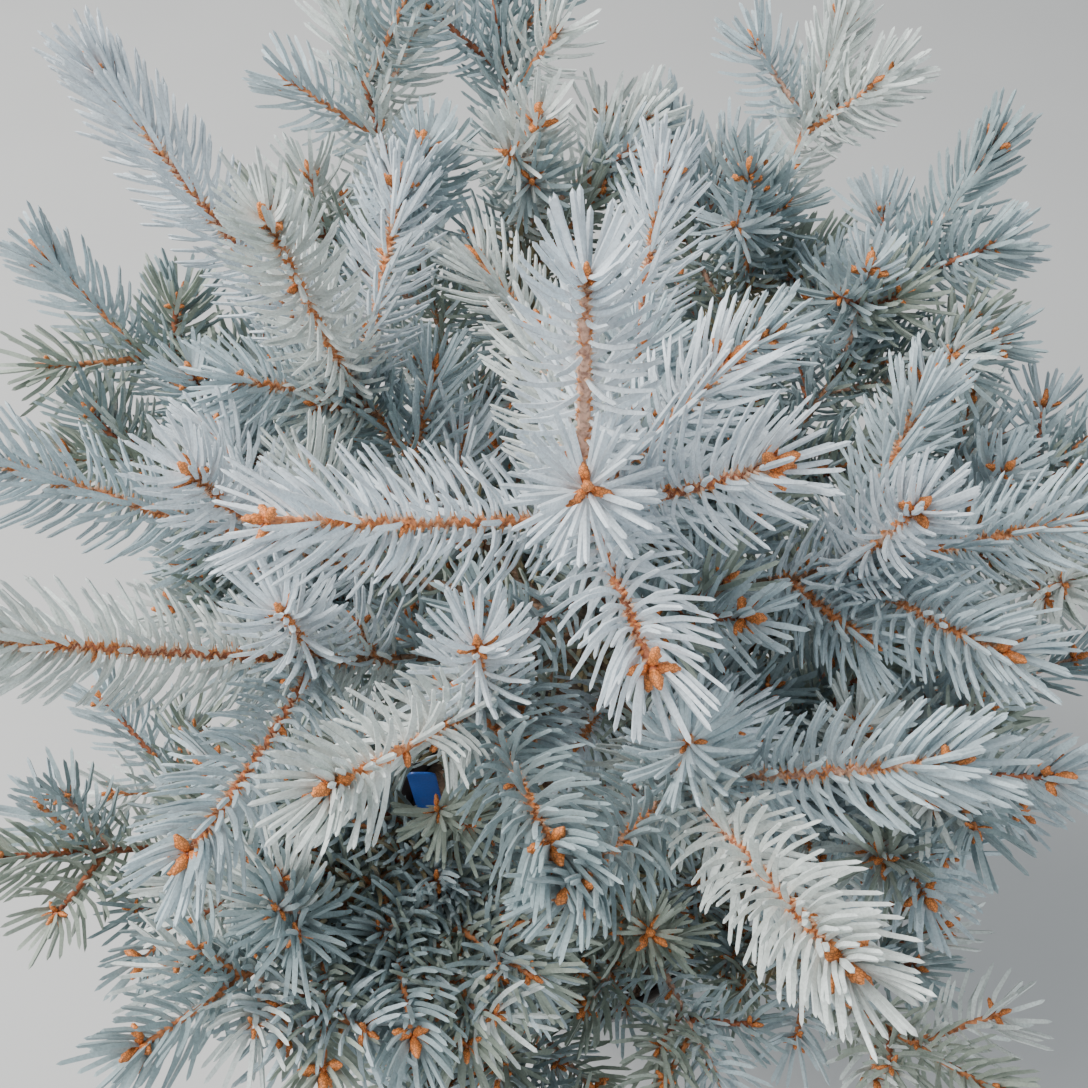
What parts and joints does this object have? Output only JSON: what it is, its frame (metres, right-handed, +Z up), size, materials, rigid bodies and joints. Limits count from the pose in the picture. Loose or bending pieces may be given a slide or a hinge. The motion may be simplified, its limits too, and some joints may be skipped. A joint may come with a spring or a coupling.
{
  "type": "potted blue spruce",
  "caption": "Young blue spruce with whorls of silvery needled shoots on a bowed trunk, in a plain round tapered pot filled with soil.",
  "frame": {"origin": "centre of the pot's flat underside", "axes": "+Z up along the trunk; the pictured view looks down from -Y towards +Y, with +X to its right"},
  "size_m": [0.5581, 0.566, 0.7486],
  "materials": {
    "pot": "smooth black nursery plastic, satin",
    "soil": "dark crumbly potting compost, matt",
    "label": "plain blue plastic, slightly glossy",
    "trunk_bark": "grey-brown scaly bark, matt",
    "bough_bark": "orange-brown ridged bark, matt",
    "needles": "waxy silver-blue needles, matt bloom",
    "inner_needles": "older grey-green needles, matt"
  },
  "bodies": {
    "root": {"crown_foliage_1": "needles", "crown_foliage_2": "needles", "crown_foliage_3": "needles", "crown_foliage_4": "needles", "crown_foliage_5": "needles", "crown_foliage_6": "needles", "inner_foliage_1": "inner_needles", "inner_foliage_2": "inner_needles", "inner_foliage_3": "inner_needles", "inner_foliage_4": "inner_needles", "inner_foliage_5": "inner_needles", "inner_foliage_6": "inner_needles", "inner_foliage_7": "inner_needles", "label": "label", "leader_foliage": "needles", "lower_bough_1": "bough_bark", "lower_bough_2": "bough_bark", "lower_bough_3": "bough_bark", "lower_bough_4": "bough_bark", "lower_bough_5": "bough_bark", "lower_bough_6": "bough_bark", "lower_foliage_1": "needles", "lower_foliage_2": "needles", "lower_foliage_3": "needles", "lower_foliage_4": "needles", "lower_foliage_5": "needles", "lower_foliage_6": "needles", "middle_bough_1": "bough_bark", "middle_bough_2": "bough_bark", "middle_bough_3": "bough_bark", "middle_bough_4": "bough_bark", "middle_bough_5": "bough_bark", "middle_bough_6": "bough_bark", "middle_bough_7": "bough_bark", "middle_bough_8": "bough_bark", "middle_foliage_1": "needles", "middle_foliage_2": "needles", "middle_foliage_3": "needles", "middle_foliage_4": "needles", "middle_foliage_5": "needles", "middle_foliage_6": "needles", "middle_foliage_7": "needles", "middle_foliage_8": "needles", "pot": "pot", "soil": "soil", "trunk": "trunk_bark", "upper_bough_1": "bough_bark", "upper_bough_2": "bough_bark", "upper_bough_3": "bough_bark", "upper_bough_4": "bough_bark", "upper_bough_5": "bough_bark", "upper_bough_6": "bough_bark", "upper_bough_7": "bough_bark", "upper_foliage_1": "needles", "upper_foliage_2": "needles", "upper_foliage_3": "needles", "upper_foliage_4": "needles", "upper_foliage_5": "needles", "upper_foliage_6": "needles", "upper_foliage_7": "needles"}
  },
  "joints": []
}
